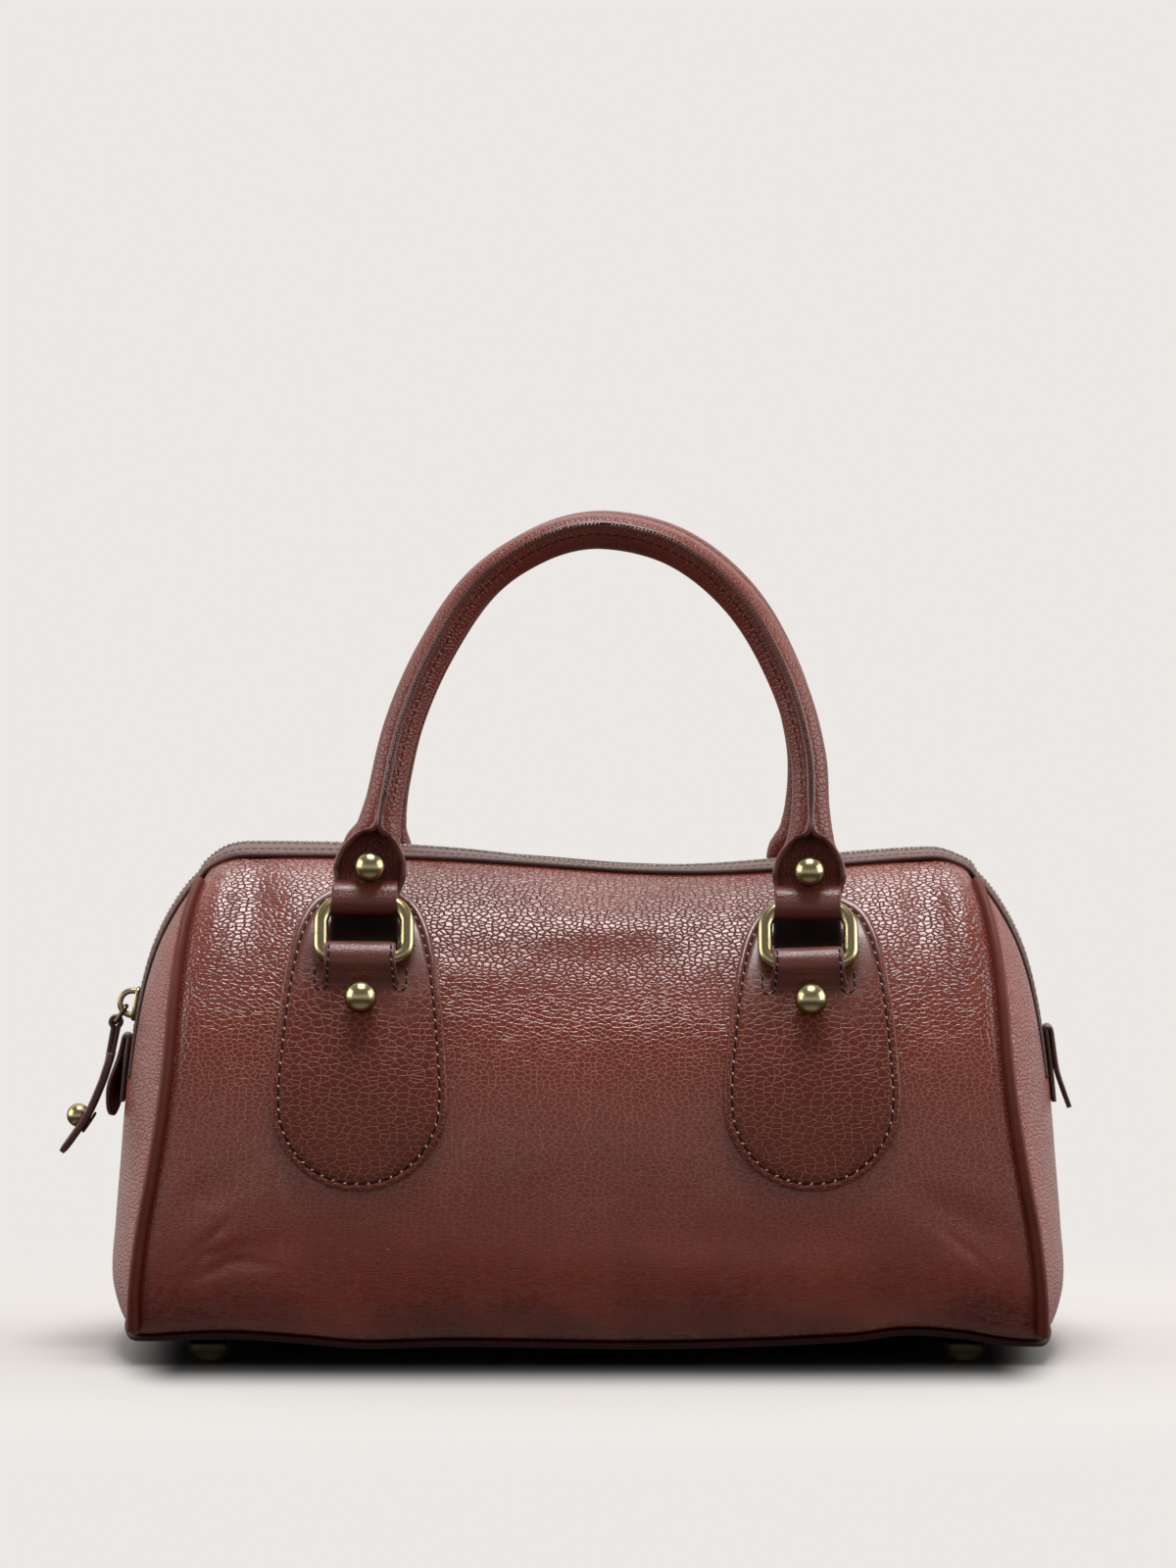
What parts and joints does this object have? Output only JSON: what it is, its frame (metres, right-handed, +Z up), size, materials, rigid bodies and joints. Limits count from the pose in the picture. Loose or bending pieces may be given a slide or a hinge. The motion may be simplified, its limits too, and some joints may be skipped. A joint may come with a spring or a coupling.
{
  "type": "satchel",
  "caption": "Soft leather barrel-shaped satchel with rolled handles on brass rings, teardrop ring patches, a zip over the top and down both ends, and domed metal feet.",
  "frame": {"origin": "on the surface that the feet stand on, below the middle of the whole object's box", "axes": "+X along the zip to the right end, +Y from the front to the back, +Z up"},
  "size_m": [0.3516, 0.1514, 0.2885],
  "materials": {
    "leather": "pebbled, semi-gloss",
    "dark_leather": "smooth, satin",
    "brass": "antique, polished",
    "zip_metal": "dull"
  },
  "bodies": {
    "root": {"front_panel": "leather", "back_panel": "leather", "left_end_panel": "leather", "right_end_panel": "leather", "base_panel": "dark_leather", "base_piping": "dark_leather", "zip_facing_front": "leather", "zip_facing_back": "leather", "zip_piping_front": "dark_leather", "zip_piping_back": "dark_leather", "side_piping_front_left": "leather", "side_piping_front_right": "leather", "side_piping_back_left": "leather", "side_piping_back_right": "leather", "zip_chain": "zip_metal", "handle_front": "leather", "handle_back": "leather", "ring_front_left": "brass", "ring_front_right": "brass", "ring_back_left": "brass", "ring_back_right": "brass", "patch_front_left": "leather", "patch_front_right": "leather", "patch_back_left": "leather", "patch_back_right": "leather", "handle_stud_front_left": "brass", "handle_stud_front_right": "brass", "handle_stud_back_left": "brass", "handle_stud_back_right": "brass", "patch_stud_front_left": "brass", "patch_stud_front_right": "brass", "patch_stud_back_left": "brass", "patch_stud_back_right": "brass", "foot_front_left": "brass", "foot_front_right": "brass", "foot_back_left": "brass", "foot_back_right": "brass", "zip_slider": "zip_metal", "puller_link": "zip_metal", "zip_puller": "leather", "puller_stud": "brass", "zip_end_tab_left": "leather", "zip_end_tab_right": "leather"}
  },
  "joints": []
}
